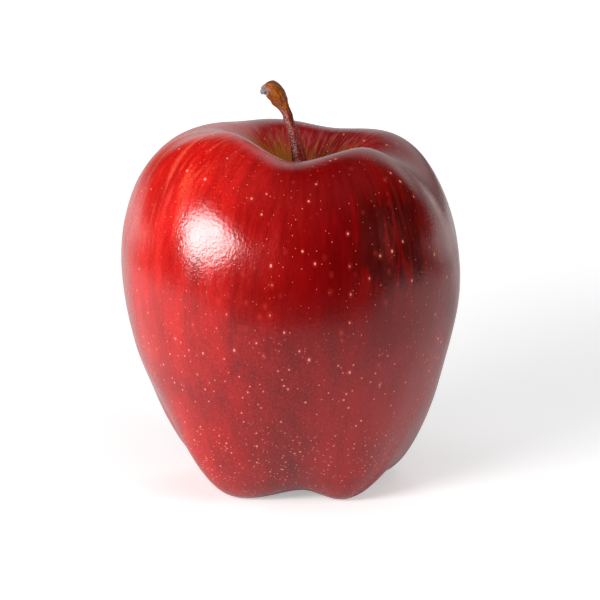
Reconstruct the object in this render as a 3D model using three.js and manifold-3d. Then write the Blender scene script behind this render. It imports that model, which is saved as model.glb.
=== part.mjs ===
// A fresh red apple: five-lobed fruit, bent woody stem, and the dried calyx under it.
// Millimetres, +Z up. Azimuths are in degrees: 0 faces the front (-Y) and +90 faces +X.
import * as THREE from "three";
import { mergeVertices } from "three/addons/utils/BufferGeometryUtils.js";
import Module from "manifold-3d";

const wasm = await Module();
wasm.setup();

const clearance = 0.3; // left between pieces that meet

// Outline of the fruit's mean half: height and radius of each turn of the curve.
const basinFloor = 7.3;
const toeRadius = 16.5;
const toeHeight = 1.6;
const cheekRadius = 37.9;
const cheekHeight = 48.3;
const crestRadius = 18.3;
const crestHeight = 78.7;
const cavityFloor = 60.5;

// How far the outline runs straight on from each turn before it bends to the next.
const basinHold = 5;
const toeHoldIn = 5;
const toeHoldOut = 9.7;
const cheekHoldBelow = 18;
const cheekHoldAbove = 17;
const crestHoldOut = 12;
const crestHoldIn = 6;
const cavityHold = 4;
const cavityFunnel = 2.2;

// Five lobes and the furrow after each: where each meets the shoulder and the foot,
// how far its crest rises, and how far its toe reaches down.
const ridges = [
  { shoulder: 45, rise: 2.2, foot: 32, reach: 1.9 }, // front right lobe
  { shoulder: 80, rise: -1.4, foot: 68, reach: 0.3 },
  { shoulder: 116, rise: 1.9, foot: 105, reach: 1.9 }, // back right lobe
  { shoulder: 164, rise: -0.4, foot: 146, reach: -0.6 },
  { shoulder: 192, rise: 0.1, foot: 182, reach: 1.9 }, // back lobe
  { shoulder: 225, rise: -0.5, foot: 218, reach: -0.8 },
  { shoulder: 259, rise: -0.4, foot: 252, reach: 1.95 }, // left lobe
  { shoulder: 281, rise: 0, foot: 281, reach: -1.8 },
  { shoulder: 310, rise: 2, foot: 318, reach: 2 }, // front left lobe
  { shoulder: 352, rise: -2.2, foot: 5, reach: -0.4 },
];
const shoulderFrom = 0.55; // share of the height where the shoulder lobes begin
const footTo = 0.4; // share of the height where the foot lobes end
const crestSpread = 0.6; // outward push for each millimetre of rise
const toeSpread = 1.3;
const cheekSpread = 0.3;

// The whole fruit is a little lopsided.
const bow = -2.3; // middle pushed to -X
const cavityShift = 1.2; // stem cavity moved to +X
const footShift = -0.5;
const lean = 0.11; // the +X side is lower at the top
const leanBack = 0.02;
const cavityReach = 26; // radius inside which the cavity is moved
const cavityFrom = 0.6; // share of the height where that begins
const cavityBlend = 0.3;
const footBlend = 0.3; // share of the height over which the foot is moved

const outlineSteps = 52;
const aroundSteps = 56;

// Stem, given from the point where it leaves the cavity floor.
const stemRadius = 1.2; // where it is thinnest, below the knob
const stemRootRadius = 1.8;
const stemKnobRadius = 2.2;
const stemRootDepth = 3; // part held inside the flesh
const stemRise = 29.4;
const stemOffset = 1.5;
const stemSwing = -8.4; // how far the tip bends to -X
const stemBreak = 0.5; // slope of the broken end, lower on its -X side
const stemBreakFrom = 0.85; // share of the length where that slope begins
const stemSteps = 18;
const stemSides = 14;

// Calyx: a cup with dried stamens in the middle of the basin, and five sepals round it.
const cupRadius = 2;
const cupDepth = 4;
const cupSides = 20;
const cupBelow = 1.5; // how far the cutter reaches below the basin
const sepalCount = 5;
const sepalRing = 3.3;
const sepalLength = 5.2;
const sepalWidth = 3.6;
const sepalThickness = 0.55;
const sepalFirst = 20; // azimuth of the first one
const sepalSides = 10;
const sepalSteps = 8;
const sepalShorter = 0.9; // every second sepal's share of the full length
const filamentCount = 9;
const filamentRadius = 0.22;
const filamentSides = 6;
const plugSides = 16;

const smooth = (x) => {
  const t = THREE.MathUtils.clamp(x, 0, 1);
  return t * t * (3 - 2 * t);
};

// Height of the ridges at an azimuth, eased from one lobe or furrow to the next.
function ridgeAt(azimuth, place, size) {
  const knots = [...ridges].sort((a, b) => a[place] - b[place]);
  const first = knots[0][place];
  const turned = THREE.MathUtils.euclideanModulo(azimuth - first, 360);
  const after = knots.findIndex((knot) => knot[place] - first > turned);
  const next = after < 0 ? knots[0] : knots[after];
  const last = after < 0 ? knots.at(-1) : knots[after - 1];
  const start = last[place] - first;
  const end = after < 0 ? 360 : next[place] - first;
  return THREE.MathUtils.lerp(last[size], next[size], smooth((turned - start) / (end - start)));
}

function bend(from, fromHandle, toHandle, to) {
  return new THREE.CubicBezierCurve(
    new THREE.Vector2(...from),
    new THREE.Vector2(...fromHandle),
    new THREE.Vector2(...toHandle),
    new THREE.Vector2(...to),
  );
}

// Half outline of the mean fruit, from the middle of the basin to the bottom of the cavity.
const basin = [0, basinFloor];
const toe = [toeRadius, toeHeight];
const cheek = [cheekRadius, cheekHeight];
const crest = [crestRadius, crestHeight];
const cavity = [0, cavityFloor];
const toeIn = [toeRadius - toeHoldIn, toeHeight];
const toeOut = [toeRadius + toeHoldOut, toeHeight];
const cheekBelow = [cheekRadius, cheekHeight - cheekHoldBelow];
const cheekAbove = [cheekRadius, cheekHeight + cheekHoldAbove];
const crestOut = [crestRadius + crestHoldOut, crestHeight];
const crestIn = [crestRadius - crestHoldIn, crestHeight];
const outline = new THREE.CurvePath();
outline.add(bend(basin, [basinHold, basinFloor], toeIn, toe));
outline.add(bend(toe, toeOut, cheekBelow, cheek));
outline.add(bend(cheek, cheekAbove, crestOut, crest));
outline.add(bend(crest, crestIn, [cavityHold, cavityFloor + cavityFunnel], cavity));

// Height of the mean outline over a radius inside the basin.
function basinHeight(radius) {
  const line = outline.curves[0];
  let share = 0;
  while (line.getPoint(share).x < radius) {
    share += 0.005;
  }
  return line.getPoint(share).y;
}

// The fruit's skin over a point of the mean outline.
function skin(radius, height, azimuth) {
  const share = height / crestHeight;
  const rise = ridgeAt(azimuth, "shoulder", "rise");
  const reach = ridgeAt(azimuth, "foot", "reach");
  const nearCrest = smooth((share - shoulderFrom) / (1 - shoulderFrom)) * smooth(radius / crestRadius);
  const nearToe = smooth((footTo - share) / footTo) * smooth(radius / toeRadius);
  const nearCheek = smooth(share * 4) * smooth((1 - share) * 4) * smooth(radius / cheekRadius);
  const spread = crestSpread * nearCrest * rise + (toeSpread * nearToe + cheekSpread * nearCheek) * reach;
  const angle = THREE.MathUtils.degToRad(azimuth);
  const inside = smooth(1 - radius / cavityReach) * smooth((share - cavityFrom) / cavityBlend);
  const x = (radius + spread) * Math.sin(angle) + bow * 4 * share * (1 - share)
    + cavityShift * inside + footShift * smooth(1 - share / footBlend);
  const y = -(radius + spread) * Math.cos(angle);
  const z = height + nearCrest * rise - nearToe * reach - (lean * x + leanBack * y) * smooth(share);
  return new THREE.Vector3(x, y, z);
}

// Turns a lathe's Y axis up to +Z, with its seam at the front.
function lathe(points, sides) {
  return new THREE.LatheGeometry(points, sides).rotateX(Math.PI / 2);
}

function eachPoint(geometry, move) {
  const position = geometry.getAttribute("position");
  const point = new THREE.Vector3();
  for (let i = 0; i < position.count; i += 1) {
    point.fromBufferAttribute(position, i);
    const moved = move(point);
    position.setXYZ(i, moved.x, moved.y, moved.z);
  }
  return geometry;
}

// Bends a body that stands on the Z axis, 0 to 1 high, along a curve in the XZ plane.
function along(curve, body) {
  return eachPoint(body, ({ x, y, z }) => {
    const share = THREE.MathUtils.clamp(z, 0, 1);
    const at = curve.getPointAt(share);
    const ahead = curve.getTangentAt(share);
    return new THREE.Vector3(at.x + x * ahead.z, y, at.z - x * ahead.x);
  });
}

function solid(geometry) {
  const bare = geometry.clone();
  bare.deleteAttribute("normal");
  bare.deleteAttribute("uv");
  const merged = mergeVertices(bare, 1e-4);
  return new wasm.Manifold(
    new wasm.Mesh({
      numProp: 3,
      vertProperties: new Float32Array(merged.getAttribute("position").array),
      triVerts: new Uint32Array(merged.index.array),
    }),
  );
}

function geometryOf(body) {
  const mesh = body.getMesh();
  const geometry = new THREE.BufferGeometry();
  geometry.setAttribute("position", new THREE.BufferAttribute(mesh.vertProperties, 3));
  geometry.setIndex(new THREE.BufferAttribute(mesh.triVerts, 1));
  geometry.computeVertexNormals();
  return geometry;
}

// Stem: round, thicker where it roots, and swollen at its broken end.
const cavityPoint = skin(0, cavityFloor, 0);
const stemRoot = new THREE.Vector3(cavityPoint.x + stemOffset, cavityPoint.y, cavityPoint.z);
const stemCurve = new THREE.CubicBezierCurve3(
  new THREE.Vector3(0, 0, -stemRootDepth),
  new THREE.Vector3(-stemSwing * 0.08, 0, stemRise * 0.44),
  new THREE.Vector3(stemSwing * 0.16, 0, stemRise * 0.76),
  new THREE.Vector3(stemSwing, 0, stemRise),
);

function stemBody(grow) {
  const shape = new THREE.SplineCurve([
    new THREE.Vector2(stemRootRadius + grow, 0),
    new THREE.Vector2(stemRootRadius + grow, 0.35),
    new THREE.Vector2(stemRadius + grow, 0.65),
    new THREE.Vector2(stemRadius * 1.15 + grow, 0.82),
    new THREE.Vector2(stemKnobRadius + grow, 0.94),
    new THREE.Vector2(stemKnobRadius * 0.75 + grow, 1),
  ]);
  const profile = [new THREE.Vector2(0, 0), ...shape.getPoints(stemSteps), new THREE.Vector2(0, 1)];
  const body = lathe(profile, stemSides);
  eachPoint(body, (point) => {
    const nearEnd = smooth((point.z - stemBreakFrom) / (1 - stemBreakFrom));
    point.z += (stemBreak * point.x * nearEnd) / stemRise;
    return point;
  });
  return along(stemCurve, body);
}

// Calyx cup, cut up into the flesh from the middle of the basin.
const basinPoint = skin(0, basinFloor, 0);
function cupBody() {
  const profile = [
    new THREE.Vector2(0, -cupBelow),
    new THREE.Vector2(cupRadius, -cupBelow),
    new THREE.Vector2(cupRadius, 0),
    new THREE.Vector2(cupRadius * 0.75, cupDepth * 0.7),
    new THREE.Vector2(0, cupDepth),
  ];
  return lathe(profile, cupSides).translate(basinPoint.x, basinPoint.y, basinPoint.z);
}

// Everything below the ground plane is cut away, which leaves a small flat under each toe.
function groundBody() {
  const side = 4 * cheekRadius;
  return new THREE.BoxGeometry(side, side, side).translate(0, 0, -side / 2);
}

function fruitGeometry() {
  const body = lathe(outline.getSpacedPoints(outlineSteps), aroundSteps);
  eachPoint(body, ({ x, y, z }) => {
    const azimuth = THREE.MathUtils.radToDeg(Math.atan2(x, -y));
    return skin(Math.hypot(x, y), z, azimuth);
  });
  const socket = stemBody(clearance).translate(stemRoot.x, stemRoot.y, stemRoot.z - clearance);
  const cuts = [socket, cupBody(), groundBody()];
  return geometryOf(cuts.reduce((left, cut) => left.subtract(solid(cut)), solid(body)));
}

// A sepal: a thin pointed scale that leans in over the cup and curls out at its tip.
function sepalGeometry(length) {
  const curve = new THREE.CubicBezierCurve3(
    new THREE.Vector3(0, 0, 0),
    new THREE.Vector3(-length * 0.35, 0, -length * 0.3),
    new THREE.Vector3(-length * 0.2, 0, -length * 0.85),
    new THREE.Vector3(length * 0.3, 0, -length * 0.9),
  );
  const half = new THREE.SplineCurve([
    new THREE.Vector2(0.42, 0),
    new THREE.Vector2(0.5, 0.15),
    new THREE.Vector2(0.36, 0.55),
    new THREE.Vector2(0.08, 1),
  ]);
  const profile = [new THREE.Vector2(0, 0), ...half.getPoints(sepalSteps), new THREE.Vector2(0, 1)];
  const body = lathe(profile, sepalSides);
  eachPoint(body, (point) => {
    const thin = sepalThickness * (1 - 0.5 * point.z);
    return point.set(point.x * thin, point.y * sepalWidth, point.z);
  });
  return along(curve, body);
}

// Dried stamens: thin threads that spread from one plug inside the cup.
function stamenGeometry() {
  const plug = [
    new THREE.Vector2(0, cupDepth * 0.3),
    new THREE.Vector2(cupRadius * 0.62, cupDepth * 0.32),
    new THREE.Vector2(cupRadius * 0.5, cupDepth * 0.6),
    new THREE.Vector2(0, cupDepth * 0.68),
  ];
  let tuft = solid(lathe(plug, plugSides));
  for (let k = 0; k < filamentCount; k += 1) {
    const length = cupDepth * (k % 2 ? 0.95 : 0.75);
    const out = cupRadius * (k % 3 ? 0.42 : 0.25);
    const curve = new THREE.CubicBezierCurve3(
      new THREE.Vector3(cupRadius * 0.2, 0, cupDepth * 0.4),
      new THREE.Vector3(out, 0, cupDepth * 0.1),
      new THREE.Vector3(out, 0, -length * 0.2),
      new THREE.Vector3(out * 0.8, 0, -length * 0.5),
    );
    const thread = lathe(
      [
        new THREE.Vector2(0, 0),
        new THREE.Vector2(filamentRadius, 0),
        new THREE.Vector2(filamentRadius, 0.85),
        new THREE.Vector2(filamentRadius * 1.6, 0.93),
        new THREE.Vector2(0, 1),
      ],
      filamentSides,
    );
    const turned = along(curve, thread).rotateZ((2 * Math.PI * k) / filamentCount);
    tuft = tuft.add(solid(turned));
  }
  return geometryOf(tuft);
}

function piece(name, geometry, look, at = new THREE.Vector3(), turn = 0) {
  const mesh = new THREE.Mesh(geometry, new THREE.MeshStandardMaterial(look));
  mesh.name = name;
  mesh.position.copy(at);
  mesh.rotation.z = turn;
  return mesh;
}

const skinLook = { color: 0x9c1413, roughness: 0.35, metalness: 0 };
const stemLook = { color: 0x7d4a1e, roughness: 0.75, metalness: 0 };
const sepalLook = { color: 0x6b4a2c, roughness: 0.9, metalness: 0 };
const stamenLook = { color: 0x3e2a1b, roughness: 0.95, metalness: 0 };

const pieces = new THREE.Group();
pieces.add(piece("fruit", fruitGeometry(), skinLook));
pieces.add(piece("stem", stemBody(0), stemLook, stemRoot));
for (let k = 0; k < sepalCount; k += 1) {
  const azimuth = sepalFirst + (360 * k) / sepalCount;
  const length = sepalLength * (k % 2 ? sepalShorter : 1);
  const start = skin(sepalRing, basinHeight(sepalRing), azimuth);
  start.z -= clearance + sepalThickness / 2;
  const turn = THREE.MathUtils.degToRad(azimuth - 90);
  pieces.add(piece(`sepal_${k + 1}`, sepalGeometry(length), sepalLook, start, turn));
}
pieces.add(piece("stamen_tuft", stamenGeometry(), stamenLook, basinPoint));

// The part's origin is the middle of its box, on the ground.
const box = new THREE.Box3().setFromObject(pieces, true);
const middle = box.getCenter(new THREE.Vector3());
pieces.position.set(-middle.x, -middle.y, -box.min.z);

const apple = new THREE.Group();
apple.add(pieces);

export default apple;
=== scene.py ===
# Looks of a fresh red apple: glossy streaked skin with pale pores, a bent woody stem, and the dried
# calyx underneath. Metres, +Z up, -Y is the front. Azimuth 0 faces the front and +90 faces +X.
import math

import bpy
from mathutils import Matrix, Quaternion, Vector


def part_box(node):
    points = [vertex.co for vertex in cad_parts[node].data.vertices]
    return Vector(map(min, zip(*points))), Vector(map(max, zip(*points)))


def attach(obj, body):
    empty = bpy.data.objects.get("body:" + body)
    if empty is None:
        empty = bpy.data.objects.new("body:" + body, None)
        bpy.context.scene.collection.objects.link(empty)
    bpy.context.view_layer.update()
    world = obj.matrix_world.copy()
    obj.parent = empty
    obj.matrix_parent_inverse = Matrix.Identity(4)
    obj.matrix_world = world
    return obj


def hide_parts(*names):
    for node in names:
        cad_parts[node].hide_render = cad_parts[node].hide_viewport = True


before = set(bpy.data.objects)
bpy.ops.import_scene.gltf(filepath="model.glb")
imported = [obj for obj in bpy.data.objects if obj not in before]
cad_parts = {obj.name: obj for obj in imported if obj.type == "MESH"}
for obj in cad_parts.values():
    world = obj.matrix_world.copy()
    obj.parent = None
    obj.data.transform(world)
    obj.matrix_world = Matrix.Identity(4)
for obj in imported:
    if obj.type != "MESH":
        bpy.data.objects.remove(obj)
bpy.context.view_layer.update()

MM = 0.001

# Outline of the fruit's mean half: radius and height of each turn of the curve, and how long the
# handles are that hold it straight on before it bends to the next one.
BASIN_FLOOR = 7.3 * MM
TOE_RADIUS = 16.5 * MM
TOE_HEIGHT = 1.6 * MM
CHEEK_RADIUS = 37.9 * MM
CHEEK_HEIGHT = 48.3 * MM
CREST_RADIUS = 18.3 * MM
CREST_HEIGHT = 78.7 * MM
CAVITY_FLOOR = 60.5 * MM
BASIN_HOLD = 5 * MM
TOE_HOLD_IN = 5 * MM
TOE_HOLD_OUT = 9.7 * MM
CHEEK_HOLD_BELOW = 18 * MM
CHEEK_HOLD_ABOVE = 17 * MM
CREST_HOLD_OUT = 12 * MM
CREST_HOLD_IN = 6 * MM
CAVITY_HOLD = 4 * MM
CAVITY_FUNNEL = 2.2 * MM
OUTLINE_STEPS = 100

# Five lobes and the furrow after each: azimuth at the shoulder, rise there in mm, azimuth at the
# foot, reach there in mm.
RIDGES = [
    (45, 2.2, 32, 1.9),
    (80, -1.4, 68, 0.3),
    (116, 1.9, 105, 1.9),
    (164, -0.4, 146, -0.6),
    (192, 0.1, 182, 1.9),
    (225, -0.5, 218, -0.8),
    (259, -0.4, 252, 1.95),
    (281, 0, 281, -1.8),
    (310, 2, 318, 2),
    (352, -2.2, 5, -0.4),
]
SHOULDER_FROM = 0.55  # share of the height where the shoulder's lobes begin
FOOT_TO = 0.4  # share of the height where the foot's lobes end
CHEEK_FADE = 4  # the lobes on the cheek fade in and out over one part in this many
CREST_SPREAD = 0.6
TOE_SPREAD = 1.3
CHEEK_SPREAD = 0.3

# The whole fruit is a little lopsided: it bows and leans, and its cavity and foot sit off centre.
BOW = -2.3 * MM
CAVITY_SHIFT = 1.2 * MM
CAVITY_REACH = 26 * MM
CAVITY_FROM = 0.6
CAVITY_BLEND = 0.3
FOOT_SHIFT = -0.5 * MM
FOOT_BLEND = 0.3
LEAN = 0.11
LEAN_BACK = 0.02

# Calyx cup; its outline is in shares of its radius and depth, from its floor to its rim.
CUP_RADIUS = 2 * MM
CUP_DEPTH = 4 * MM
CUP_OUTLINE = [(0.3, 1), (0.75, 0.8), (0.95, 0.3), (1.1, 0)]
CUP_RIM = 1.2  # inside this share of its radius a point belongs to the cup
CUP_MARGIN = 1.3  # the outline keeps this share of its radius clear of the cup

FRUIT_SIDES = 90
FRUIT_RINGS = 50
FRUIT_POLE = 0.6 * MM  # radius of the smallest ring round the cavity floor
UNEVEN = 0.35 * MM
UNEVEN_WAVE = 14 * MM
POLE = 0.1 * MM  # a point this near to a piece's axis has no azimuth

# Stem, from the point where it leaves the cavity floor. Its line is bent by four points, and its
# thickness goes by (share of the way, radius in mm): thick at the root, thinnest below the knob, and
# narrow again at the broken stub.
STEM_OFFSET = 1.5 * MM
STEM_ROOT_DEPTH = 3 * MM
STEM_RISE = 29.4 * MM
STEM_SWING = -8.4 * MM
STEM_END_LEAN = 72  # the broken end faces this far from straight up
STEM_END_TURN = 30  # and is turned this far about the upright
STEM_SIDES = 20
STEM_RINGS = 44
STEM_LINE = [
    (0, 0, -STEM_ROOT_DEPTH),
    (-0.26 * STEM_SWING, 0, 0.38 * STEM_RISE),
    (0.56 * STEM_SWING, 0, 1.11 * STEM_RISE),
    (1.02 * STEM_SWING, -0.8 * MM, 0.985 * STEM_RISE),
]
STEM_THICKNESS = [
    (0, 1.8), (0.32, 1.7), (0.52, 1.1), (0.62, 1.15), (0.79, 2.15), (0.86, 2.1), (0.94, 1.5), (1, 1.15),
]
STEM_LOOK_AHEAD = 0.01  # share of the way, before and after, that a ring's lean is taken over
STEM_UNEVEN = 0.35 * MM
STEM_UNEVEN_WAVE = 1.6 * MM
STUB_REACH = 1.3 * MM
STUB_INSET = 0.9  # the last ring lies in the end face, this share as wide as its rim
HUMP_AT = Vector((-6.2, 0, 25.4)) * MM  # a small hump under the knob, from the stem's root
HUMP_REACH = 0.8 * MM
HUMP_PULL = (-0.3 * MM, 0, -0.2 * MM)
HUMP_BLEND = 1.2 * MM

SEPAL_COUNT = 5
SEPAL_RING = 3.3 * MM
SEPAL_LENGTH = 5.2 * MM
SEPAL_WIDTH = 3.6 * MM
SEPAL_THICKNESS = 0.3 * MM
SEPAL_TIP = 0.15 * MM
SEPAL_SINK = 0.1 * MM
SEPAL_FIRST = 20  # azimuth of the first one
SEPAL_SIZES = (1, 0.9)
SEPAL_ROWS = 10
SEPAL_COLUMNS = 6
# The sepal's bend, out and up, in shares of its length.
SEPAL_ROUTE = [(0, 0), (-0.35, -0.3), (-0.2, -0.85), (0.3, -0.9)]

STAMEN_COUNT = 12
STAMEN_SIDES = 8
STAMEN_STEPS = 8
STAMEN_RADIUS = 0.2 * MM
STAMEN_TIP_RADIUS = 0.32 * MM
STAMEN_TIP_FROM = 0.8  # share of the thread where its swollen tip begins
STAMEN_SIZES = (1, 0.86, 0.93, 0.8)

CAMERA_ELEVATION = 15.4
CAMERA_DISTANCE = 640 * MM
CAMERA_LENS = 170.7
CAMERA_SENSOR = 36
CAMERA_CLIP = 10 * MM
CAMERA_AIM = (0.18 * MM, 0.57 * MM, 41.16 * MM)  # from the fruit's axis and the floor

# Soft lights round the fruit: azimuth, elevation, distance, width, height, radiance, roll, and
# whether the skin mirrors the light.
LIGHTS = {
    "key": (-46, 19, 0.55, 0.44, 0.185, 19, 33, True),
    "side": (60, 18, 0.9, 0.6, 0.45, 6.2, 0, False),
    "left": (-105, 12, 0.9, 0.6, 0.6, 2.6, 0, False),
    "back": (170, 25, 0.9, 0.6, 0.6, 2, 0, False),
    "top": (30, 75, 0.9, 0.9, 0.9, 1, 0, False),
}
LIGHTS_AIM = 40 * MM
FLOOR_SIZE = 6

WRAP = "wrap"  # name of the UV map that goes once round a piece and along it


# Shape -------------------------------------------------------------------------------------------


def ease(x):
    """0 below 0, 1 above 1, and smooth between."""
    t = min(max(x, 0.0), 1.0)
    return t * t * (3 - 2 * t)


def bend_point(points, t):
    """A point on the curve from the first to the last of four points, at a share of the way."""
    a, b, c, d = (Vector(p) for p in points)
    s = 1 - t
    return a * s**3 + b * (3 * s * s * t) + c * (3 * s * t * t) + d * t**3


def ease_along(knots, at):
    """Size at a place, eased from each (place, size in mm) to the next."""
    for (start, low), (end, high) in zip(knots, knots[1:]):
        if at <= end:
            return (low + (high - low) * ease((at - start) / (end - start))) * MM
    return knots[-1][1] * MM


def ridge_at(azimuth, place, size):
    """Size of the ridges at an azimuth, from the two columns that hold their places and sizes."""
    knots = sorted((ridge[place], ridge[size]) for ridge in RIDGES)
    first = knots[0][0]
    knots.append((first + 360, knots[0][1]))
    return ease_along(knots, (azimuth - first) % 360 + first)


def drift_at(radius, height):
    """How far the fruit's material has drifted towards +X at a radius and a height."""
    share = height / CREST_HEIGHT
    inside = ease(1 - radius / CAVITY_REACH) * ease((share - CAVITY_FROM) / CAVITY_BLEND)
    foot = ease(1 - share / FOOT_BLEND)
    return BOW * 4 * share * (1 - share) + CAVITY_SHIFT * inside + FOOT_SHIFT * foot


def azimuth_of(x, y):
    """Degrees round from the front, -Y, towards +X."""
    return math.degrees(math.atan2(x, -y)) % 360


def outline_points(count):
    """The mean half outline as (radius, height), evenly spaced from the basin to the cavity."""
    turns = [
        (
            (0, BASIN_FLOOR),
            (BASIN_HOLD, BASIN_FLOOR),
            (TOE_RADIUS - TOE_HOLD_IN, TOE_HEIGHT),
            (TOE_RADIUS, TOE_HEIGHT),
        ),
        (
            (TOE_RADIUS, TOE_HEIGHT),
            (TOE_RADIUS + TOE_HOLD_OUT, TOE_HEIGHT),
            (CHEEK_RADIUS, CHEEK_HEIGHT - CHEEK_HOLD_BELOW),
            (CHEEK_RADIUS, CHEEK_HEIGHT),
        ),
        (
            (CHEEK_RADIUS, CHEEK_HEIGHT),
            (CHEEK_RADIUS, CHEEK_HEIGHT + CHEEK_HOLD_ABOVE),
            (CREST_RADIUS + CREST_HOLD_OUT, CREST_HEIGHT),
            (CREST_RADIUS, CREST_HEIGHT),
        ),
        (
            (CREST_RADIUS, CREST_HEIGHT),
            (CREST_RADIUS - CREST_HOLD_IN, CREST_HEIGHT),
            (CAVITY_HOLD, CAVITY_FLOOR + CAVITY_FUNNEL),
            (0, CAVITY_FLOOR),
        ),
    ]
    shares = [step / OUTLINE_STEPS for step in range(OUTLINE_STEPS + 1)]
    line = [bend_point(turn, share) for turn in turns for share in shares]
    reach = [0.0]
    for last, point in zip(line, line[1:]):
        reach.append(reach[-1] + (point - last).length)
    wanted = [reach[-1] * k / (count - 1) for k in range(count)]
    spaced = []
    at = 0
    for distance in wanted:
        while at < len(reach) - 2 and reach[at + 1] < distance:
            at += 1
        span = reach[at + 1] - reach[at] or 1
        spaced.append(line[at].lerp(line[at + 1], min(max((distance - reach[at]) / span, 0), 1)))
    return spaced


# Modelling ---------------------------------------------------------------------------------------


def start_alone():
    """Nothing selected, so that the next operator acts on its own piece only."""
    bpy.ops.object.select_all(action="DESELECT")


def turn_ring(angle, centre):
    """Turns what is selected about Y; a positive angle leans +Z towards +X."""
    bpy.ops.transform.rotate(value=-angle, orient_axis="Y", orient_type="GLOBAL", center_override=centre)


def grow(name, sides, rings):
    """A closed body grown ring by ring; each ring is (centre, radius, lean about Y)."""
    start_alone()
    centre, radius, lean = rings[0]
    bpy.ops.mesh.primitive_circle_add(vertices=sides, radius=radius, fill_type="NOTHING", location=centre)
    piece = bpy.context.object
    piece.name = name
    bpy.ops.object.transform_apply(location=True, rotation=True, scale=True)
    bpy.ops.object.mode_set(mode="EDIT")
    bpy.ops.mesh.select_all(action="SELECT")
    turn_ring(lean, centre)
    for next_centre, next_radius, next_lean in rings[1:]:
        step = next_centre - centre
        bpy.ops.mesh.extrude_region_move(TRANSFORM_OT_translate={"value": step})
        ratio = next_radius / radius
        bpy.ops.transform.resize(value=(ratio, ratio, ratio), center_override=next_centre)
        if next_lean != lean:
            turn_ring(next_lean - lean, next_centre)
        centre, radius, lean = next_centre, next_radius, next_lean
    bpy.ops.mesh.select_all(action="SELECT")
    bpy.ops.mesh.fill_holes(sides=0)
    bpy.ops.mesh.select_all(action="DESELECT")
    bpy.ops.mesh.select_face_by_sides(number=sides, type="EQUAL")
    bpy.ops.mesh.poke()
    bpy.ops.mesh.select_all(action="SELECT")
    bpy.ops.mesh.normals_make_consistent(inside=False)
    bpy.ops.object.mode_set(mode="OBJECT")
    return piece


def wrap_map(piece, around, along):
    """Lays the UV map: around gives a point's share of the way round, along its share of the length."""
    layer = piece.data.uv_layers.new(name=WRAP)
    for face in piece.data.polygons:
        points = [piece.data.vertices[i].co for i in face.vertices]
        turns = [around(point) for point in points]
        known = [turn for turn in turns if turn is not None]
        if max(known) - min(known) > 0.5:
            turns = [turn + 1 if turn is not None and turn < 0.5 else turn for turn in turns]
            known = [turn for turn in turns if turn is not None]
        middle = sum(known) / len(known)
        for loop, turn, point in zip(face.loop_indices, turns, points):
            layer.data[loop].uv = (middle if turn is None else turn, along(point))


def apply_modifier(piece, kind, **settings):
    """Adds a modifier with its settings and applies it."""
    bpy.context.view_layer.objects.active = piece
    modifier = piece.modifiers.new(kind.lower(), kind)
    for name, value in settings.items():
        setattr(modifier, name, value)
    bpy.ops.object.modifier_apply(modifier=modifier.name)


def paint_weights(piece, amounts):
    """A vertex group that holds each point's share of the largest amount."""
    largest = max(amounts)
    group = piece.vertex_groups.new(name="push")
    for index, amount in enumerate(amounts):
        if amount > 0:
            group.add([index], amount / largest, "REPLACE")
    return group, largest


def shift(piece, direction, amounts):
    """Moves each point its own distance along X, Y or Z."""
    for sign in (1, -1):
        pushes = [sign * amount for amount in amounts]
        if max(pushes) <= 0:
            continue
        group, largest = paint_weights(piece, pushes)
        apply_modifier(
            piece,
            "DISPLACE",
            direction=direction,
            mid_level=0,
            strength=sign * largest,
            vertex_group=group.name,
        )
        piece.vertex_groups.clear()


def swell(piece, amounts):
    """Moves each point its own distance away from the Z axis, or towards it."""
    far = 4 * CHEEK_RADIUS
    radii = [math.hypot(v.co.x, v.co.y) for v in piece.data.vertices]
    for sign in (1, -1):
        pulls = [sign * amount / (far - radius) for amount, radius in zip(amounts, radii)]
        if max(pulls) <= 0:
            continue
        group, largest = paint_weights(piece, pulls)
        apply_modifier(
            piece,
            "CAST",
            cast_type="CYLINDER",
            use_z=False,
            use_radius_as_size=False,
            size=far,
            factor=sign * largest,
            vertex_group=group.name,
        )
        piece.vertex_groups.clear()


def roughen(piece, strength, grain, direction="NORMAL"):
    """Soft unevenness over the whole piece."""
    clouds = bpy.data.textures.new(piece.name + "_uneven", "CLOUDS")
    clouds.noise_scale = grain
    clouds.noise_depth = 1
    apply_modifier(
        piece,
        "DISPLACE",
        texture=clouds,
        texture_coords="LOCAL",
        direction=direction,
        mid_level=0.5,
        strength=strength,
    )


def smooth_finish(piece, levels):
    """Subdivides the piece and shades it smooth."""
    apply_modifier(piece, "SUBSURF", levels=levels, render_levels=levels)
    start_alone()
    piece.select_set(True)
    bpy.context.view_layer.objects.active = piece
    bpy.ops.object.shade_smooth()


def select_points(piece, test):
    """In edit mode with only the points that pass the test selected."""
    start_alone()
    bpy.context.view_layer.objects.active = piece
    piece.select_set(True)
    bpy.ops.object.mode_set(mode="EDIT")
    bpy.ops.mesh.select_mode(type="VERT")
    bpy.ops.mesh.select_all(action="DESELECT")
    bpy.ops.object.mode_set(mode="OBJECT")
    for vertex in piece.data.vertices:
        vertex.select = test(vertex.co)
    bpy.ops.object.mode_set(mode="EDIT")


def leave_edit():
    bpy.ops.object.mode_set(mode="OBJECT")


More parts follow.
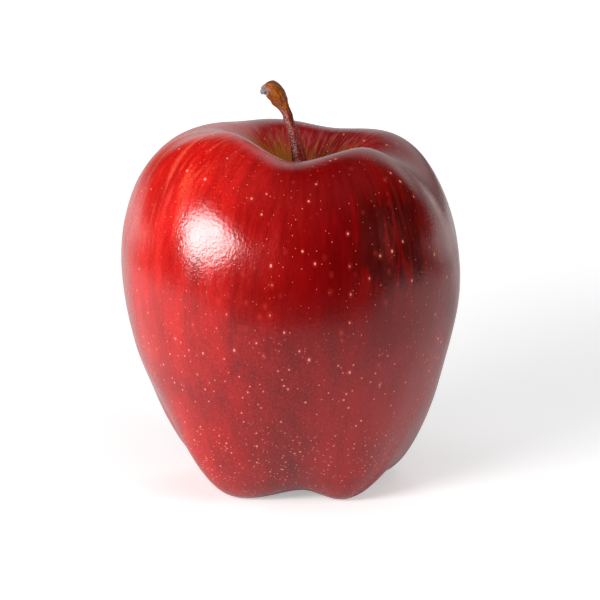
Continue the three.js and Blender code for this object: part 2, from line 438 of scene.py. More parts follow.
def make_fruit():
    """The whole fruit, grown from the cup to the cavity floor, then lobed, bowed, leant and dented."""
    half_way = CREST_HEIGHT / 2
    outline = outline_points(FRUIT_RINGS)
    spaced = [point for point in outline if point.x > CUP_MARGIN * CUP_RADIUS or point.y > half_way]
    spaced = [point for point in spaced if point.x > FRUIT_POLE]
    cup = [Vector((radius * CUP_RADIUS, BASIN_FLOOR + deep * CUP_DEPTH)) for radius, deep in CUP_OUTLINE]
    line = cup + spaced
    rings = [(Vector((0, 0, point.y)), point.x, 0) for point in line]
    fruit = grow("fruit_skin", FRUIT_SIDES, rings)

    share_at = {}
    for index, point in enumerate(spaced):
        share_at[round(point.y / MM, 2), round(point.x / MM, 2)] = index / (len(spaced) - 1)

    def along(point):
        radius = math.hypot(point.x, point.y)
        if radius < CUP_RADIUS * CUP_RIM:
            return 0.0 if point.z < half_way else 1.0
        return share_at.get((round(point.z / MM, 2), round(radius / MM, 2)), 0.0)

    def around(point):
        if math.hypot(point.x, point.y) < POLE:
            return None
        return azimuth_of(point.x, point.y) / 360

    wrap_map(fruit, around, along)

    spread, drift, climb = [], [], []
    for vertex in fruit.data.vertices:
        x, y, z = vertex.co
        radius = math.hypot(x, y)
        azimuth = azimuth_of(x, y)
        share = z / CREST_HEIGHT
        rise = ridge_at(azimuth, 0, 1)
        reach = ridge_at(azimuth, 2, 3)
        near_crest = ease((share - SHOULDER_FROM) / (1 - SHOULDER_FROM)) * ease(radius / CREST_RADIUS)
        near_toe = ease((FOOT_TO - share) / FOOT_TO) * ease(radius / TOE_RADIUS)
        near_cheek = ease(share * CHEEK_FADE) * ease((1 - share) * CHEEK_FADE) * ease(radius / CHEEK_RADIUS)
        below = TOE_SPREAD * near_toe + CHEEK_SPREAD * near_cheek
        spread.append(CREST_SPREAD * near_crest * rise + below * reach)
        drift.append(drift_at(radius, z))
        climb.append((near_crest * rise - near_toe * reach, ease(share)))
    swell(fruit, spread)
    shift(fruit, "X", drift)
    lift = [
        up - (LEAN * vertex.co.x + LEAN_BACK * vertex.co.y) * high
        for vertex, (up, high) in zip(fruit.data.vertices, climb)
    ]
    shift(fruit, "Z", lift)
    smooth_finish(fruit, 2)
    roughen(fruit, UNEVEN, UNEVEN_WAVE)

    # The toes are pressed flat where they stand.
    select_points(fruit, lambda point: point.z < 0)
    bpy.ops.transform.resize(value=(1, 1, 0), center_override=(0, 0, 0))
    leave_edit()
    return fruit


def make_stem(root):
    """The bent stem, with a knob, a small hump under it and a broken stub."""
    rings = []
    for index in range(STEM_RINGS):
        share = index / (STEM_RINGS - 1)
        after = bend_point(STEM_LINE, min(share + STEM_LOOK_AHEAD, 1))
        ahead = after - bend_point(STEM_LINE, max(share - STEM_LOOK_AHEAD, 0))
        lean = max(math.atan2(ahead.x, ahead.z), -math.radians(STEM_END_LEAN))
        rings.append((root + bend_point(STEM_LINE, share), ease_along(STEM_THICKNESS, share), lean))
    end, rim, lean = rings[-1]
    rings.append((end, STUB_INSET * rim, lean))
    stem = grow("stem_bark", STEM_SIDES, rings)

    centres = [ring[0] for ring in rings[:-1]]

    def along(point):
        nearest = min(range(STEM_RINGS), key=lambda k: (centres[k] - point).length)
        return nearest / (STEM_RINGS - 1)

    def around(point):
        nearest = min(centres, key=lambda centre: (centre - point).length)
        side = point - nearest
        if side.length < POLE:
            return None
        across = math.hypot(side.x, side.z) * (1 if side.x > 0 else -1)
        return math.atan2(side.y, across) / math.tau % 1

    wrap_map(stem, around, along)

    # The broken face is turned partly to the front.
    select_points(stem, lambda point: (point - end).length < STUB_REACH)
    bpy.ops.transform.rotate(
        value=-math.radians(STEM_END_TURN), orient_axis="Z", orient_type="GLOBAL", center_override=end
    )
    leave_edit()

    hump = root + HUMP_AT
    select_points(stem, lambda point: (point - hump).length < HUMP_REACH)
    bpy.ops.transform.translate(
        value=HUMP_PULL,
        use_proportional_edit=True,
        proportional_edit_falloff="SMOOTH",
        proportional_size=HUMP_BLEND,
    )
    leave_edit()
    smooth_finish(stem, 2)
    roughen(stem, STEM_UNEVEN, STEM_UNEVEN_WAVE)
    return stem


def copy_of(piece, name):
    """A copy of a piece with its own mesh."""
    start_alone()
    piece.select_set(True)
    bpy.context.view_layer.objects.active = piece
    bpy.ops.object.duplicate(linked=False)
    twin = bpy.context.object
    twin.name = name
    return twin


def stand(piece, azimuth, at, size):
    """Turns a piece made at the origin to an azimuth, sizes it, and moves it to its place."""
    select_points(piece, lambda point: True)
    bpy.ops.transform.resize(value=(size, size, size), center_override=(0, 0, 0))
    bpy.ops.transform.rotate(
        value=-math.radians(azimuth), orient_axis="Z", orient_type="GLOBAL", center_override=(0, 0, 0)
    )
    bpy.ops.transform.translate(value=at)
    leave_edit()


def make_sepal():
    """A dried scale: a thin tapered sheet that leans in over the cup and curls out at its tip."""
    start_alone()
    bpy.ops.mesh.primitive_grid_add(x_subdivisions=SEPAL_COLUMNS, y_subdivisions=SEPAL_ROWS, size=1)
    sepal = bpy.context.object
    sepal.name = "sepal_scale_1"
    route = [(out * SEPAL_LENGTH, up * SEPAL_LENGTH) for out, up in SEPAL_ROUTE]
    for row in range(SEPAL_ROWS + 1):
        share = row / SEPAL_ROWS
        level = share - 0.5
        # A row that is placed has left the plane, so it isn't picked up again.
        select_points(sepal, lambda point: abs(point.y - level) < 0.02 and point.z == 0)
        width = SEPAL_WIDTH * (1 - share**1.6) * (0.8 + 0.5 * share) + SEPAL_TIP
        bpy.ops.transform.resize(value=(width, 1, 1), center_override=(0, level, 0))
        out, down = bend_point(route, share)
        bpy.ops.transform.translate(value=(0, -level - out, down - 1e-6))
        leave_edit()
    wrap_map(sepal, lambda point: point.x / SEPAL_WIDTH * 0.4 + 0.5, lambda point: -point.z / SEPAL_LENGTH)
    apply_modifier(sepal, "SOLIDIFY", thickness=SEPAL_THICKNESS, offset=0)
    smooth_finish(sepal, 2)
    select_points(sepal, lambda point: True)
    bpy.ops.mesh.normals_make_consistent(inside=False)
    leave_edit()
    return sepal


def make_sepals(calyx):
    """One scale copied round the cup; each then ripples its own way."""
    first = make_sepal()
    sepals = [first] + [copy_of(first, f"sepal_scale_{index + 2}") for index in range(SEPAL_COUNT - 1)]
    for index, sepal in enumerate(sepals):
        azimuth = SEPAL_FIRST + 360 * index / SEPAL_COUNT
        at = calyx + direction(azimuth, 0) * SEPAL_RING - Vector((0, 0, SEPAL_SINK))
        stand(sepal, azimuth, at, SEPAL_SIZES[index % len(SEPAL_SIZES)])
        roughen(sepal, 1.1 * MM, 1.6 * MM, direction="Z")
        roughen(sepal, 0.9 * MM, 1.4 * MM, direction="X")
    return sepals


def make_stamens(at):
    """A tuft of dried threads in the calyx cup, each swollen at its tip: one thread, copied round."""
    rings = []
    for step in range(STAMEN_STEPS + 1):
        share = step / STAMEN_STEPS
        height = CUP_DEPTH * (0.55 - share)
        out = CUP_RADIUS * (0.18 + 0.27 * share)
        radius = STAMEN_RADIUS if share < STAMEN_TIP_FROM else STAMEN_TIP_RADIUS
        rings.append((Vector((out, 0, height)), radius, 0))
    first = grow("stamens", STAMEN_SIDES, rings)
    wrap_map(first, lambda point: azimuth_of(point.x, point.y) / 360, lambda point: point.z / CUP_DEPTH)
    smooth_finish(first, 1)
    threads = [first] + [copy_of(first, f"stamen_{index + 2}") for index in range(STAMEN_COUNT - 1)]
    for index, thread in enumerate(threads):
        stand(thread, 360 * index / STAMEN_COUNT, at, STAMEN_SIZES[index % len(STAMEN_SIZES)])
        roughen(thread, 0.5 * MM, 1.2 * MM, direction="X")
    start_alone()
    for thread in threads:
        thread.select_set(True)
    bpy.context.view_layer.objects.active = first
    bpy.ops.object.join()
    return first


def move_all(pieces, step):
    """Moves pieces in their meshes, so that each object stays at the origin."""
    for piece in pieces:
        select_points(piece, lambda point: True)
        bpy.ops.transform.translate(value=step)
        leave_edit()


# Finishes ----------------------------------------------------------------------------------------


def add(tree, kind, inputs=None, **settings):
    """A node with its settings; inputs maps a socket to a value or to the output that feeds it."""
    made = tree.nodes.new(kind)
    for name, value in settings.items():
        setattr(made, name, value)
    for name, value in (inputs or {}).items():
        socket = made.inputs[name]
        if isinstance(value, bpy.types.NodeSocket):
            tree.links.new(value, socket)
        else:
            socket.default_value = value
    return made


def calc(tree, operation, a, b=0.0):
    return add(tree, "ShaderNodeMath", {0: a, 1: b}, operation=operation).outputs[0]


def times(tree, a, b):
    return calc(tree, "MULTIPLY", a, b)


def plus(tree, a, b):
    return calc(tree, "ADD", a, b)


def remap(tree, value, low, high, to_low=0.0, to_high=1.0, kind="SMOOTHSTEP"):
    """Eases from to_low to to_high as the value goes from low to high, which may be the lower."""
    sockets = {"Value": value, "From Min": low, "From Max": high, "To Min": to_low, "To Max": to_high}
    return add(tree, "ShaderNodeMapRange", sockets, interpolation_type=kind).outputs["Result"]


def blend(tree, factor, base, top):
    """Base colour where the factor is 0, top colour where it is 1."""
    mix = add(tree, "ShaderNodeMix", {"Factor": factor}, data_type="RGBA", clamp_factor=True)
    for socket, value in ((mix.inputs[6], base), (mix.inputs[7], top)):
        if isinstance(value, bpy.types.NodeSocket):
            tree.links.new(value, socket)
        else:
            socket.default_value = (*value, 1)
    return mix.outputs[2]


def aligned(tree, round_, towards):
    """How far a point's place round the piece lies towards a vector."""
    sockets = {0: round_, 1: towards}
    return add(tree, "ShaderNodeVectorMath", sockets, operation="DOT_PRODUCT").outputs["Value"]


def raise_bumps(tree, shader, height, depth):
    """Fine relief on the surface, of a depth in metres."""
    bump = add(tree, "ShaderNodeBump", {"Strength": 1.0, "Distance": depth, "Height": height})
    tree.links.new(bump.outputs[0], shader.inputs["Normal"])


def new_group(name, inputs, outputs):
    """A node group with its inputs (name, kind, default) and outputs (name, kind)."""
    tree = bpy.data.node_groups.new(name, "ShaderNodeTree")
    for label, kind, value in inputs:
        socket = tree.interface.new_socket(label, in_out="INPUT", socket_type=kind)
        if value is not None:
            socket.default_value = value
    for label, kind in outputs:
        tree.interface.new_socket(label, in_out="OUTPUT", socket_type=kind)
    return tree, tree.nodes.new("NodeGroupInput"), tree.nodes.new("NodeGroupOutput")


def place(tree, group, **inputs):
    """Puts a node group in a material with its own values."""
    made = tree.nodes.new("ShaderNodeGroup")
    made.node_tree = group
    for name, value in inputs.items():
        socket = made.inputs[name]
        if isinstance(value, bpy.types.NodeSocket):
            tree.links.new(value, socket)
        else:
            socket.default_value = value
    return made


FLOAT, VECTOR = "NodeSocketFloat", "NodeSocketVector"


def group_wrap():
    """Where a point is: a vector once round the piece, and the share of the way along it."""
    tree, _, out = new_group("round_and_along", [], [("Round", VECTOR), ("Along", FLOAT)])
    lay = add(tree, "ShaderNodeUVMap", uv_map=WRAP)
    part = add(tree, "ShaderNodeSeparateXYZ", {0: lay.outputs[0]})
    turn = times(tree, part.outputs[0], math.tau)
    across = calc(tree, "SINE", turn)
    front = calc(tree, "COSINE", turn)
    both = add(tree, "ShaderNodeCombineXYZ", {0: across, 1: front, 2: part.outputs[1]})
    tree.links.new(both.outputs[0], out.inputs["Round"])
    tree.links.new(part.outputs[1], out.inputs["Along"])
    return tree


def group_streaks():
    """Streaks that run along a piece: Around sets how many there are, Along how short they are."""
    inputs = [
        ("Round", VECTOR, None),
        ("Around", FLOAT, 8),
        ("Along", FLOAT, 2),
        ("Seed", FLOAT, 0),
        ("Detail", FLOAT, 3),
        ("Low", FLOAT, 0.35),
        ("High", FLOAT, 0.65),
    ]
    tree, given, out = new_group("streaks", inputs, [("Mask", FLOAT)])
    value = given.outputs
    size = add(tree, "ShaderNodeCombineXYZ", {0: value["Around"], 1: value["Around"], 2: value["Along"]})
    spot = add(tree, "ShaderNodeVectorMath", {0: value["Round"], 1: size.outputs[0]}, operation="MULTIPLY")
    sockets = {
        "Vector": spot.outputs[0],
        "W": value["Seed"],
        "Scale": 1,
        "Detail": value["Detail"],
        "Roughness": 0.6,
        "Distortion": 0.6,
    }
    noise = add(tree, "ShaderNodeTexNoise", sockets, noise_dimensions="4D")
    mask = remap(tree, noise.outputs["Fac"], value["Low"], value["High"])
    tree.links.new(mask, out.inputs["Mask"])
    return tree


def stretched_place(tree, tall):
    """A point's place on the piece, squeezed in height so that a pattern on it comes out taller."""
    place_of = add(tree, "ShaderNodeTexCoord")
    squeeze = calc(tree, "DIVIDE", 1.0, tall)
    squash = add(tree, "ShaderNodeCombineXYZ", {0: 1.0, 1: 1.0, 2: squeeze})
    sockets = {0: place_of.outputs["Object"], 1: squash.outputs[0]}
    return add(tree, "ShaderNodeVectorMath", sockets, operation="MULTIPLY").outputs[0]


def group_pores():
    """Scattered pores, each a core and a soft ring. Size is a share of the spacing, Ring of the size."""
    inputs = [
        ("Spacing", FLOAT, 3 * MM),
        ("Size", FLOAT, 0.15),
        ("Share", FLOAT, 0.7),
        ("Ring", FLOAT, 2.2),
        ("Tall", FLOAT, 1),
    ]
    outputs = [("Core", FLOAT), ("Ring", FLOAT), ("Random", FLOAT)]
    tree, given, out = new_group("pores", inputs, outputs)
    value = given.outputs
    scale = calc(tree, "DIVIDE", 1.0, value["Spacing"])
    spot = stretched_place(tree, value["Tall"])
    # Turned off the axes, so that no row of cells lines up with the piece.
    spot = add(tree, "ShaderNodeMapping", {"Vector": spot, "Rotation": (0.5, 0.7, 0.3)})
    sockets = {"Vector": spot.outputs[0], "Scale": scale, "Randomness": 0.9}
    cells = add(tree, "ShaderNodeTexVoronoi", sockets, feature="F1")
    chance = add(tree, "ShaderNodeSeparateColor", {0: cells.outputs["Color"]})
    kept = calc(tree, "LESS_THAN", chance.outputs[0], value["Share"])
    varied = remap(tree, chance.outputs[1], 0.0, 1.0, 0.55, 1.0, "LINEAR")
    size = times(tree, value["Size"], varied)
    inner = times(tree, size, 0.5)
    core = remap(tree, cells.outputs["Distance"], inner, size, 1.0, 0.0)
    wide = times(tree, size, value["Ring"])
    ring = remap(tree, cells.outputs["Distance"], inner, wide, 1.0, 0.0)
    tree.links.new(times(tree, core, kept), out.inputs["Core"])
    tree.links.new(times(tree, ring, kept), out.inputs["Ring"])
    tree.links.new(chance.outputs[2], out.inputs["Random"])
    return tree


def group_ripple():
    """Height of a fine, even unevenness, such as orange peel or dry bark."""
    inputs = [("Wave", FLOAT, 1.4 * MM), ("Detail", FLOAT, 2), ("Tall", FLOAT, 1)]
    tree, given, out = new_group("ripple", inputs, [("Height", FLOAT)])
    value = given.outputs
    scale = calc(tree, "DIVIDE", 1.0, value["Wave"])
    spot = stretched_place(tree, value["Tall"])
    noise = add(tree, "ShaderNodeTexNoise", {"Vector": spot, "Scale": scale, "Detail": value["Detail"]})
    tree.links.new(noise.outputs["Fac"], out.inputs["Height"])
    return tree


def new_material(name):
    """A material, its node tree and its own shader."""
    material = bpy.data.materials.new(name)
    material.use_nodes = True
    tree = material.node_tree
    shader = tree.nodes["Principled BSDF"]
    return material, tree, shader


DEEP_RED = (0.125, 0.0004, 0.0008)
MID_RED = (0.22, 0.0009, 0.0015)
WARM_RED = (0.36, 0.005, 0.006)
SHADE_BROWN = (0.14, 0.012, 0.007)
# Pale pink of the painted speckle of the floor's reflection, below the cheek.
REFLECTION_SPECKLE_PINK = (0.5, 0.045, 0.05)
BRIGHT_RED = (0.66, 0.010, 0.007)
STROKE_PINK = (0.82, 0.085, 0.045)
MAROON = (0.045, 0.0015, 0.0012)
OLIVE = (0.3, 0.115, 0.008)
FLECK_ORANGE = (0.55, 0.2, 0.04)
CAVITY_RED = (0.36, 0.018, 0.022)
NET_PINK = (0.42, 0.09, 0.09)
DRY_OLIVE = (0.22, 0.12, 0.025)
PORE_RING = (0.8, 0.06, 0.05)
PORE_PINK = (0.85, 0.36, 0.3)
PORE_YELLOW = (0.8, 0.4, 0.12)

# Azimuths of the sides of the skin that differ.
# The lamp-lit side, whose brighter red is partly painted light.
LAMP_LIT_SIDE = -75
PINK_SIDE = -72
OLIVE_SIDE = -60
FLAME_SIDE = 36
WARM_SIDE = 45
BROWN_SIDE = 55
SKIN_RELIEF = 0.052 * MM


def finish_skin(groups):
    """Waxy red skin: streaks along the fruit, a darker side, pale pores, olive cavity and basin.

    Along the skin 0 is the calyx cup, about 0.5 the cheek and 1 the cavity floor.
    """
    material, tree, shader = new_material("apple_skin")
    where = place(tree, groups["wrap"])
    round_, along = where.outputs["Round"], where.outputs["Along"]

    def streaks(around, length, seed, low=0.35, high=0.65, detail=3):
        made = place(tree, groups["streaks"], Round=round_, Around=around, Along=length, Seed=seed)
        for name, value in (("Low", low), ("High", high), ("Detail", detail)):
            made.inputs[name].default_value = value
        return made.outputs["Mask"]

    def ripple(wave, detail, tall):
        return place(tree, groups["ripple"], Wave=wave, Detail=detail, Tall=tall).outputs["Height"]

    def between(low, high, to_low=0.0, to_high=1.0):
        """Eases between two places along the skin."""
        return remap(tree, along, low, high, to_low, to_high)

    def facing(azimuth, low, high):
        """1 on the side that faces an azimuth, easing to 0 round the fruit."""
        angle = math.radians(azimuth)
        return remap(tree, aligned(tree, round_, (math.sin(angle), math.cos(angle), 0)), low, high)

    # Red of the skin: streaks of four widths, calmer and clouded towards the foot.
    broad = streaks(2.6, 2, 3)
    stripes = streaks(7, 5, 11)
    strokes = streaks(20, 13, 5)
    hair = streaks(75, 36, 8, detail=2)
    mottle = remap(tree, ripple(0.45 * MM, 3, 1), 0.3, 0.7)
    tone = times(tree, broad, 0.3)
    for layer, strength in ((stripes, 0.3), (strokes, 0.24), (hair, 0.16)):
        tone = plus(tree, tone, times(tree, layer, strength))
    calm = between(0.3, 0.7, 0.5)
    tone = plus(tree, times(tree, calc(tree, "SUBTRACT", tone, 0.5), calm), 0.5)
    clouds = calc(tree, "SUBTRACT", ripple(5 * MM, 4, 1.6), 0.5)
    tone = plus(tree, tone, times(tree, clouds, between(0.6, 0.45, 0, 0.85)))
    red = blend(tree, remap(tree, tone, 0.15, 0.85, kind="LINEAR"), DEEP_RED, MID_RED)
    warm = times(tree, facing(WARM_SIDE, 0.6, 1.0), between(0.52, 0.3))
    red = blend(tree, times(tree, warm, plus(tree, tone, 0.15)), red, WARM_RED)

    # The lamp-lit side is brighter, partly the skin's own lighter red and partly painted light, with pink
    # strokes near the shoulder.
    glow = times(tree, facing(LAMP_LIT_SIDE, 0.1, 0.95), plus(tree, tone, between(0.3, 0.6, 0.0, 0.3)))
    glow = times(tree, glow, remap(tree, mottle, 0, 1, 0.75, 1.15, "LINEAR"))
    red = blend(tree, glow, red, BRIGHT_RED)
    shoulder = times(tree, facing(PINK_SIDE, 0.72, 0.98), between(0.52, 0.7))
    dash = times(tree, streaks(14, 9, 41, 0.46, 0.66), shoulder)
    dash = times(tree, dash, remap(tree, mottle, 0, 1, 0.55, 1.1, "LINEAR"))
    red = blend(tree, times(tree, dash, 0.9), red, STROKE_PINK)

    # Maroon flames and a brown tinge on the shaded side.
    shaded = times(tree, facing(FLAME_SIDE, 0.945, 0.99), between(0.52, 0.59))
    shaded = times(tree, shaded, between(0.75, 0.67))
    flames = times(tree, streaks(12, 8, 24, 0.44, 0.54), shaded)
    red = blend(tree, times(tree, flames, 0.85), red, MAROON)
    browned = times(tree, facing(BROWN_SIDE, 0.8, 1.0), between(0.5, 0.62))
    browned = times(tree, browned, between(0.86, 0.76))
    browned = times(tree, browned, streaks(18, 9, 25, 0.4, 0.6))
    red = blend(tree, times(tree, browned, 0.5), red, SHADE_BROWN)
    # Pale pink mottle below the cheek: painted speckle of the floor's reflection in the skin.
    grain = times(tree, remap(tree, mottle, 0.3, 0.9), between(0.55, 0.4, 0, 0.16))
    red = blend(tree, grain, red, REFLECTION_SPECKLE_PINK)

    # Olive ground colour shows near the stem and in the basin, with a ragged edge.
    inner = between(0.8, 0.87)
    red = blend(tree, times(tree, inner, 0.4), red, CAVITY_RED)
    net = times(tree, streaks(24, 34, 61, 0.44, 0.66), inner)
    red = blend(tree, times(tree, net, 0.55), red, NET_PINK)
    rag = times(tree, plus(tree, streaks(22, 8, 31), facing(OLIVE_SIDE, -0.6, 0.9)), 0.04)
    cavity = remap(tree, plus(tree, along, rag), 0.885, 0.955)
    red = blend(tree, times(tree, cavity, 0.9), red, OLIVE)
    flecks = times(tree, streaks(17, 22, 71, 0.58, 0.68), between(0.82, 0.88))
    red = blend(tree, times(tree, flecks, 0.45), red, FLECK_ORANGE)
    basin = remap(tree, calc(tree, "SUBTRACT", along, rag), 0.045, -0.03)
    red = blend(tree, times(tree, basin, 0.75), red, DRY_OLIVE)

    # Pores: few and large above, many and small towards the foot.
    large = place(tree, groups["pores"], Spacing=2.7 * MM, Size=0.14, Share=0.7, Ring=2.8, Tall=1.4)
    small = place(tree, groups["pores"], Spacing=1.6 * MM, Size=0.17, Share=0.95, Ring=2, Tall=1.1)
    tiny = place(tree, groups["pores"], Spacing=0.9 * MM, Size=0.23, Share=1, Ring=1.6, Tall=1)
    specks = place(tree, groups["pores"], Spacing=1.1 * MM, Size=0.13, Share=0.85, Ring=1.6, Tall=1.3)
    bands = [
        (large, between(0.3, 0.42), 0.8),
        (small, times(tree, between(0.5, 0.4), between(0.12, 0.2)), 0.75),
        (tiny, times(tree, between(0.36, 0.24), between(0.05, 0.1)), 0.65),
        (specks, between(0.3, 0.5), 0.55),
    ]
    core, ring = 0.0, 0.0
    for pores, where_found, strength in bands:
        found = times(tree, where_found, strength)
        core = calc(tree, "MAXIMUM", core, times(tree, pores.outputs["Core"], found))
        ring = calc(tree, "MAXIMUM", ring, times(tree, pores.outputs["Ring"], found))
    red = blend(tree, times(tree, ring, 0.22), red, PORE_RING)
    yellow = times(tree, large.outputs["Random"], between(0.4, 0.6))
    cork = blend(tree, yellow, PORE_PINK, PORE_YELLOW)
    red = blend(tree, core, red, cork)
    tree.links.new(red, shader.inputs["Base Color"])

    rough = plus(tree, times(tree, strokes, 0.06), 0.15)
    tree.links.new(plus(tree, rough, times(tree, core, 0.2)), shader.inputs["Roughness"])

    peel = ripple(0.6 * MM, 2, 1.2)
    dents = ripple(6 * MM, 1, 1.5)
    height = plus(tree, peel, times(tree, dents, 0.8))
    height = plus(tree, height, times(tree, hair, 0.08))
    raise_bumps(tree, shader, height, SKIN_RELIEF)
    shader.inputs["IOR"].default_value = 1.5
    shader.inputs["Specular IOR Level"].default_value = 0.6
    shader.inputs["Coat Weight"].default_value = 0.12
    shader.inputs["Coat Roughness"].default_value = 0.25
    shader.inputs["Coat IOR"].default_value = 1.4
    return material


BARK_DARK = (0.07, 0.005, 0.005)
BARK_RED = (0.3, 0.022, 0.014)
KNOB_BROWN = (0.13, 0.018, 0.003)
KNOB_ORANGE = (0.42, 0.11, 0.004)
# Pale colour of the painted sheen on the bark.
SHEEN_PALE = (0.46, 0.25, 0.24)
BREAK_DARK = (0.07, 0.04, 0.035)
BREAK_GREY = (0.42, 0.33, 0.32)
# Flank of the stem turned to the key lamp: painted sheen on it, painted shade away from it.
LIT_FLANK = (-0.91, -0.42, 0)
BARK_RELIEF = 0.12 * MM


def finish_stem(groups):
    """Satin bark: dark red-brown at the root, orange-brown at the knob, grey where it broke off."""
    material, tree, shader = new_material("woody_stem")
    where = place(tree, groups["wrap"])
    round_, along = where.outputs["Round"], where.outputs["Along"]

    def streaks(around, length, seed, low, high):
        made = place(tree, groups["streaks"], Round=round_, Around=around, Along=length, Seed=seed)
        made.inputs["Low"].default_value = low
        made.inputs["High"].default_value = high
        return made.outputs["Mask"]

    grain = streaks(2.2, 8, 2, 0.4, 0.62)
    fibre = streaks(6, 40, 4, 0.42, 0.62)
    low = blend(tree, grain, BARK_DARK, BARK_RED)
    high = blend(tree, remap(tree, grain, 0, 1, 0.35, 1, "LINEAR"), KNOB_BROWN, KNOB_ORANGE)
    climb = plus(tree, along, times(tree, grain, 0.14))
    bark = blend(tree, remap(tree, climb, 0.6, 0.86), low, high)
    grit = place(tree, groups["ripple"], Wave=0.3 * MM, Detail=3, Tall=1.3).outputs["Height"]
    flank = aligned(tree, round_, LIT_FLANK)
    sheen_flank = times(tree, remap(tree, flank, 0.82, 0.98), remap(tree, climb, 0.84, 0.7))
    # Painted shade: the side turned away from the lamp is darkened towards the dark bark.
    away = remap(tree, flank, 0.5, -0.2)
    bark = blend(tree, times(tree, away, 0.8), bark, BARK_DARK)
    # Painted sheen: pale flecks, strong on the flank turned to the lamp and faint all over, stand in for the
    # lamp's glints on the bark.
    painted_sheen = times(tree, remap(tree, grit, 0.36, 0.62), plus(tree, sheen_flank, 0.05))
    bark = blend(tree, times(tree, painted_sheen, 0.75), bark, SHEEN_PALE)
    grey = blend(tree, remap(tree, grit, 0.4, 0.6), BREAK_DARK, BREAK_GREY)
    broken = remap(tree, plus(tree, along, times(tree, grit, 0.06)), 0.965, 0.99)
    bark = blend(tree, broken, bark, grey)
    tree.links.new(bark, shader.inputs["Base Color"])
    rough = plus(tree, remap(tree, grit, 0.35, 0.65, 0.16, 0.34), times(tree, broken, 0.4))
    tree.links.new(rough, shader.inputs["Roughness"])
    raise_bumps(tree, shader, plus(tree, grit, times(tree, fibre, 0.3)), BARK_RELIEF)
    shader.inputs["Specular IOR Level"].default_value = 0.6
    return material


SEPAL_DARK = (0.09, 0.045, 0.02)
SEPAL_PALE = (0.33, 0.2, 0.1)
STAMEN_DARK = (0.03, 0.018, 0.012)
STAMEN_PALE = (0.14, 0.08, 0.04)
DRY_RELIEF = 0.1 * MM


def finish_dry(name, groups, dark, pale):
    """Dry calyx tissue: ribbed, matt and mottled."""
    material, tree, shader = new_material(name)
    where = place(tree, groups["wrap"])
    around = where.outputs["Round"]
    ribs = place(tree, groups["streaks"], Round=around, Around=5, Along=3, Seed=6).outputs["Mask"]
    mottle = place(tree, groups["ripple"], Wave=0.9 * MM, Detail=4, Tall=1).outputs["Height"]
    tone = times(tree, plus(tree, ribs, mottle), 0.6)
    colour = blend(tree, tone, dark, pale)
    tree.links.new(colour, shader.inputs["Base Color"])
    tree.links.new(remap(tree, ribs, 0, 1, 0.8, 0.95, "LINEAR"), shader.inputs["Roughness"])
    raise_bumps(tree, shader, plus(tree, mottle, ribs), DRY_RELIEF)
    return material


FLOOR_PALE = (0.75, 0.75, 0.75)
FLOOR_SHADED = (0.06, 0.06, 0.06)

# Where the floor darkens, from and to: ahead in two steps, and aside by distance, but not behind.
# Behind, its own glow grows and the skin mirrors more of it.
SHADE_AHEAD = (-0.03, -0.13)
SHADE_FAR_AHEAD = (-0.12, -0.19)
SHADE_ASIDE = (0.2, 0.36)
SHADE_BEHIND = (0.34, 0.16)
GLOW_BEHIND = (0.05, 0.7)
GLOW_LEVELS = (0.4, 0.82)
MIRRORED_BEHIND = (0.1, 0.3)
MIRRORED_LEVELS = (0, 0.2)
SHADE_MADE_UP = 0.56  # glow that makes up for the shade where the camera sees the floor


def finish_floor():
    """Floor that looks pale all over to the camera, but darkens ahead and aside in the fruit's skin."""
    material, tree, shader = new_material("studio_floor")
    shader.inputs["Roughness"].default_value = 0.9
    shader.inputs["Specular IOR Level"].default_value = 0.1
    spot = add(tree, "ShaderNodeTexCoord")
    back = add(tree, "ShaderNodeSeparateXYZ", {0: spot.outputs["Object"]}).outputs[1]
    shade = remap(tree, back, *SHADE_AHEAD, 0, 0.5, "LINEAR")
    shade = plus(tree, shade, remap(tree, back, *SHADE_FAR_AHEAD, 0, 0.5))
    away = add(tree, "ShaderNodeVectorMath", {0: spot.outputs["Object"]}, operation="LENGTH")
    aside = times(tree, remap(tree, away.outputs["Value"], *SHADE_ASIDE), remap(tree, back, *SHADE_BEHIND))
    shade = calc(tree, "MAXIMUM", shade, aside)
    base = blend(tree, shade, FLOOR_PALE, FLOOR_SHADED)
    tree.links.new(base, shader.inputs["Base Color"])
    glow = remap(tree, back, *GLOW_BEHIND, *GLOW_LEVELS)
    glow = plus(tree, glow, times(tree, shade, SHADE_MADE_UP))
    mirrored = remap(tree, back, *MIRRORED_BEHIND, *MIRRORED_LEVELS)
    seen = add(tree, "ShaderNodeLightPath")
    glow = times(tree, glow, seen.outputs["Is Camera Ray"])
    glow = plus(tree, glow, times(tree, mirrored, seen.outputs["Is Glossy Ray"]))
    lit = add(tree, "ShaderNodeCombineColor", {0: glow, 1: glow, 2: glow})
    tree.links.new(lit.outputs[0], shader.inputs["Emission Color"])
    shader.inputs["Emission Strength"].default_value = 1.0
    return material


# Studio ------------------------------------------------------------------------------------------


def direction(azimuth, elevation):
    """The way from the fruit to a place at an azimuth and an elevation."""
    a, e = math.radians(azimuth), math.radians(elevation)
    return Vector((math.sin(a) * math.cos(e), -math.cos(a) * math.cos(e), math.sin(e)))


def softbox(name, aim, azimuth, elevation, distance, width, tall, radiance, roll, glossy):
    """An oval soft light of a given brightness, pointed at the aim."""
    start_alone()
    bpy.ops.object.light_add(type="AREA", location=aim + direction(azimuth, elevation) * distance)
    lamp = bpy.context.object
    lamp.name = name
    lamp.data.shape = "ELLIPSE"
    lamp.data.size = width
    lamp.data.size_y = tall
    lamp.data.energy = radiance * math.pi * math.pi * width * tall / 4
    turn = (aim - lamp.location).to_track_quat("-Z", "Y") @ Quaternion((0, 0, 1), math.radians(roll))
    lamp.rotation_euler = turn.to_euler()
    lamp.visible_glossy = glossy


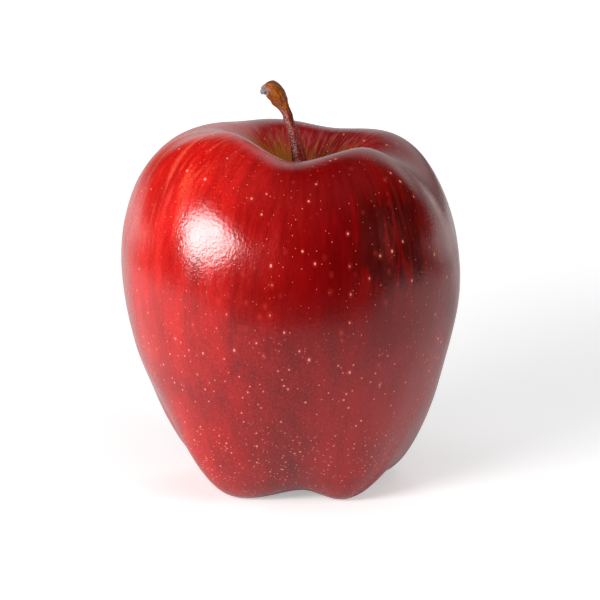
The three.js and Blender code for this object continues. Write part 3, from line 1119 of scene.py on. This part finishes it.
# The wall behind, by direction: how its edge tilts up and to the side, where it begins, where it
# dims at its foot, and the part straight behind that is always there.
WALL_TILT = 0.35
WALL_TURN = 0.28
WALL_EDGE = (0.86, 1.04)
WALL_FOOT = (0, 0.3)
WALL_FOOT_LEVELS = (0.25, 1)
WALL_MIDDLE = (0.95, 0.99)
ROOM_LEVEL = 0.012
WALL_LEVEL = 0.7


def studio_world():
    """White wall behind, dark room in front; the camera itself sees a pale wall all round."""
    world = bpy.data.worlds.new("studio")
    bpy.context.scene.world = world
    world.use_nodes = True
    tree = world.node_tree
    tree.nodes.clear()
    look = add(tree, "ShaderNodeTexCoord")
    right, back, up = add(tree, "ShaderNodeSeparateXYZ", {0: look.outputs["Generated"]}).outputs
    behind = plus(tree, back, times(tree, up, WALL_TILT))
    behind = plus(tree, behind, times(tree, right, WALL_TURN))
    wall = times(tree, remap(tree, behind, *WALL_EDGE), remap(tree, up, *WALL_FOOT, *WALL_FOOT_LEVELS))
    wall = calc(tree, "MAXIMUM", wall, remap(tree, back, *WALL_MIDDLE))
    level = remap(tree, wall, 0, 1, ROOM_LEVEL, WALL_LEVEL, "LINEAR")
    seen = add(tree, "ShaderNodeLightPath")
    pale = add(tree, "ShaderNodeMix", {"Factor": seen.outputs["Is Camera Ray"]}, data_type="FLOAT")
    tree.links.new(level, pale.inputs[2])
    pale.inputs[3].default_value = 1.0
    light = add(tree, "ShaderNodeBackground", {"Color": (1, 1, 1, 1), "Strength": pale.outputs[0]})
    out = add(tree, "ShaderNodeOutputWorld")
    tree.links.new(light.outputs[0], out.inputs[0])


def set_camera(aim):
    """A long lens from a little above, pointed at the fruit's middle."""
    bpy.ops.object.camera_add(location=aim + direction(0, CAMERA_ELEVATION) * CAMERA_DISTANCE)
    camera = bpy.context.object
    camera.rotation_euler = (aim - camera.location).to_track_quat("-Z", "Y").to_euler()
    camera.data.lens = CAMERA_LENS
    camera.data.sensor_width = CAMERA_SENSOR
    camera.data.clip_start = CAMERA_CLIP
    bpy.context.scene.camera = camera


def make_floor():
    """One wide plain floor under the fruit."""
    start_alone()
    bpy.ops.mesh.primitive_plane_add(size=FLOOR_SIZE)
    floor = bpy.context.object
    floor.name = "floor"
    floor.data.materials.append(finish_floor())


# The apple ---------------------------------------------------------------------------------------

bpy.context.scene.view_settings.view_transform = "Standard"

fruit = make_fruit()
stem = make_stem(Vector((drift_at(0, CAVITY_FLOOR) + STEM_OFFSET, 0, CAVITY_FLOOR)))
calyx = Vector((drift_at(0, BASIN_FLOOR), 0, BASIN_FLOOR))
sepals = make_sepals(calyx)
stamens = make_stamens(calyx)

# All is moved so that the skin sits centred where the CAD fruit does.
low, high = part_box("fruit")
step = []
for axis in (0, 1):
    reached = [vertex.co[axis] for vertex in fruit.data.vertices]
    step.append((low[axis] + high[axis] - min(reached) - max(reached)) / 2)
move_all([fruit, stem, stamens, *sepals], (*step, 0))

groups = {"wrap": group_wrap(), "streaks": group_streaks(), "pores": group_pores(), "ripple": group_ripple()}
skin = finish_skin(groups)
bark = finish_stem(groups)
dry_sepal = finish_dry("dry_sepal", groups, SEPAL_DARK, SEPAL_PALE)
dry_stamen = finish_dry("dry_stamen", groups, STAMEN_DARK, STAMEN_PALE)

dressed = [(fruit, skin, "apple_skin", "fruit"), (stem, bark, "woody_stem", "stem")]
dressed.append((stamens, dry_stamen, "dry_stamen", "stamen_tuft"))
for index, sepal in enumerate(sepals):
    dressed.append((sepal, dry_sepal, "dry_sepal", f"sepal_{index + 1}"))
for piece, material, slot, node in dressed:
    piece.data.materials.clear()
    piece.data.materials.append(material)
    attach(piece, "root")
    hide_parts(node)

make_floor()
set_camera(Vector((step[0] + CAMERA_AIM[0], step[1] + CAMERA_AIM[1], CAMERA_AIM[2])))
middle = Vector((0, 0, LIGHTS_AIM))
for name, setting in LIGHTS.items():
    softbox(name, middle, *setting)
studio_world()
